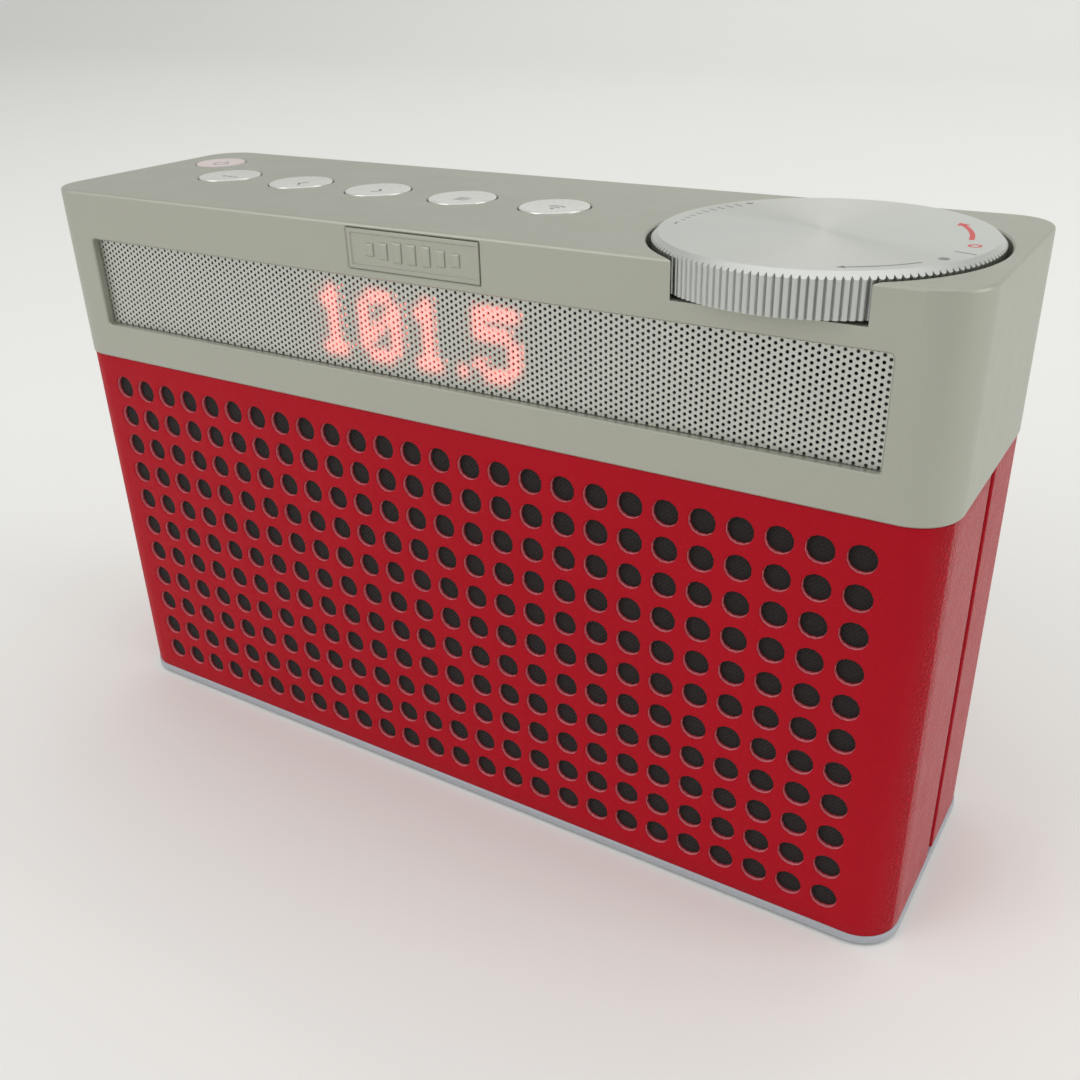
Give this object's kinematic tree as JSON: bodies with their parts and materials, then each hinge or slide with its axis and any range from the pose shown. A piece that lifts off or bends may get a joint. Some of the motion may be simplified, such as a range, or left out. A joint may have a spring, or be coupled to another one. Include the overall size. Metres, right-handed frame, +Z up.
{
  "type": "portable radio",
  "caption": "Compact table-top portable radio: leather-wrapped body with a perforated grille, painted top shell with a mesh display, push keys and a knurled volume dial.",
  "frame": {"origin": "centre of the footprint on the plane that the radio stands on", "axes": "+X to the right seen from the front, +Y to the back (the grille faces -Y), +Z up"},
  "size_m": [0.183, 0.06, 0.1151],
  "materials": {
    "shell_paint": "satin metallic paint",
    "red_leather": "satin, fine pebbled grain",
    "black_plastic": "matte",
    "grille_cloth": "matte weave",
    "grey_plastic": "satin",
    "foot_rubber": "matte",
    "mesh_metal": "satin",
    "smoke_filter": "gloss",
    "led_block": "gloss",
    "circuit_board": "satin",
    "chip_black": "matte",
    "shield_tin": "satin",
    "badge_metal": "satin",
    "key_metal": "polished",
    "dial_metal": "spun and knurled",
    "zinc_steel": "satin",
    "ferrite": "matte",
    "cone_paper": "matte",
    "soft_rubber": "matte",
    "coil_copper": "satin",
    "spider_cloth": "matte",
    "cell_wrap": "gloss",
    "chrome": "polished"
  },
  "bodies": {
    "case": {"top_shell": "shell_paint", "front_housing": "black_plastic", "rear_housing": "black_plastic", "front_leather": "red_leather", "rear_leather": "red_leather", "grille_cloth": "grille_cloth", "base_plate": "grey_plastic", "foot_pads": "foot_rubber", "case_screws": "zinc_steel", "display_mesh": "mesh_metal", "mesh_frame": "black_plastic", "display_filter": "smoke_filter", "led_matrix": "led_block", "display_board": "circuit_board", "badge": "badge_metal", "tact_switches": "black_plastic", "key_board": "circuit_board", "pot_body": "zinc_steel", "pot_nut": "zinc_steel", "driver_gasket": "soft_rubber", "driver_basket": "zinc_steel", "driver_top_plate": "zinc_steel", "driver_magnet": "ferrite", "driver_yoke": "zinc_steel", "cone_surround": "soft_rubber", "spider": "spider_cloth", "speaker_screws": "zinc_steel", "battery_tray": "black_plastic", "battery_cell": "cell_wrap", "battery_strap": "spider_cloth", "main_board": "circuit_board", "board_screws": "zinc_steel", "board_chips": "chip_black", "radio_module": "shield_tin", "usb_socket": "shield_tin", "aux_jack": "black_plastic", "phones_jack": "black_plastic", "port_plate": "black_plastic", "antenna_washer": "zinc_steel"},
    "dial": {"dial_knob": "dial_metal", "dial_hub": "black_plastic", "pot_shaft": "zinc_steel"},
    "cone": {"speaker_cone": "cone_paper", "dust_cap": "cone_paper", "voice_coil": "coil_copper"},
    "antenna_swivel": {"antenna_base": "chrome", "antenna_pin": "zinc_steel", "antenna_nut": "zinc_steel"},
    "antenna_mast": {"antenna_tube": "chrome"},
    "antenna_stage_2": {"antenna_section_2": "chrome"},
    "antenna_stage_3": {"antenna_section_3": "chrome"},
    "antenna_stage_4": {"antenna_section_4": "chrome", "antenna_tip": "chrome"},
    "preset_key": {"preset_key": "key_metal"},
    "previous_key": {"previous_key": "key_metal"},
    "next_key": {"next_key": "key_metal"},
    "menu_key": {"menu_key": "key_metal"},
    "wireless_key": {"wireless_key": "key_metal"},
    "standby_key": {"standby_key": "key_metal"}
  },
  "joints": [
    {"name": "dial_turn", "type": "hinge", "parent": "case", "child": "dial", "pos_m": [0.0625, -0.00305, 0.11], "axis": [0, 0, 1], "range_deg": [-225, 75]},
    {"name": "preset_key_press", "type": "slide", "parent": "case", "child": "preset_key", "axis": [0, 0, -1], "range_m": [0, 0.0006], "stiffness_N_per_m": 400, "springref_m": -0.0005},
    {"name": "previous_key_press", "type": "slide", "parent": "case", "child": "previous_key", "axis": [0, 0, -1], "range_m": [0, 0.0006], "stiffness_N_per_m": 400, "springref_m": -0.0005},
    {"name": "next_key_press", "type": "slide", "parent": "case", "child": "next_key", "axis": [0, 0, -1], "range_m": [0, 0.0006], "stiffness_N_per_m": 400, "springref_m": -0.0005},
    {"name": "menu_key_press", "type": "slide", "parent": "case", "child": "menu_key", "axis": [0, 0, -1], "range_m": [0, 0.0006], "stiffness_N_per_m": 400, "springref_m": -0.0005},
    {"name": "wireless_key_press", "type": "slide", "parent": "case", "child": "wireless_key", "axis": [0, 0, -1], "range_m": [0, 0.0006], "stiffness_N_per_m": 400, "springref_m": -0.0005},
    {"name": "standby_key_press", "type": "slide", "parent": "case", "child": "standby_key", "axis": [0, 0, -1], "range_m": [0, 0.0006], "stiffness_N_per_m": 400, "springref_m": -0.0005},
    {"name": "cone_stroke", "type": "slide", "parent": "case", "child": "cone", "axis": [0, -1, 0], "range_m": [-0.0015, 0.0015], "stiffness_N_per_m": 1200, "deforming": ["cone_surround", "spider"]},
    {"name": "antenna_swing", "type": "hinge", "parent": "case", "child": "antenna_swivel", "pos_m": [0.078, 0.02565, 0.098], "axis": [0, 1, 0], "range_deg": [0, 180]},
    {"name": "antenna_tilt", "type": "hinge", "parent": "antenna_swivel", "child": "antenna_mast", "pos_m": [0.078, 0.0284, 0.098], "axis": [0, 0, -1], "range_deg": [0, 90]},
    {"name": "antenna_extend", "type": "slide", "parent": "antenna_mast", "child": "antenna_stage_2", "axis": [-1, 0, 0], "range_m": [0, 0.115]},
    {"name": "antenna_extend_3", "type": "slide", "parent": "antenna_stage_2", "child": "antenna_stage_3", "axis": [-1, 0, 0], "range_m": [0, 0.115]},
    {"name": "antenna_extend_4", "type": "slide", "parent": "antenna_stage_3", "child": "antenna_stage_4", "axis": [-1, 0, 0], "range_m": [0, 0.115]}
  ],
  "couplings": [
    {"joint": "antenna_extend_3", "follows": "antenna_extend", "ratio": 1},
    {"joint": "antenna_extend_4", "follows": "antenna_extend", "ratio": 1}
  ]
}
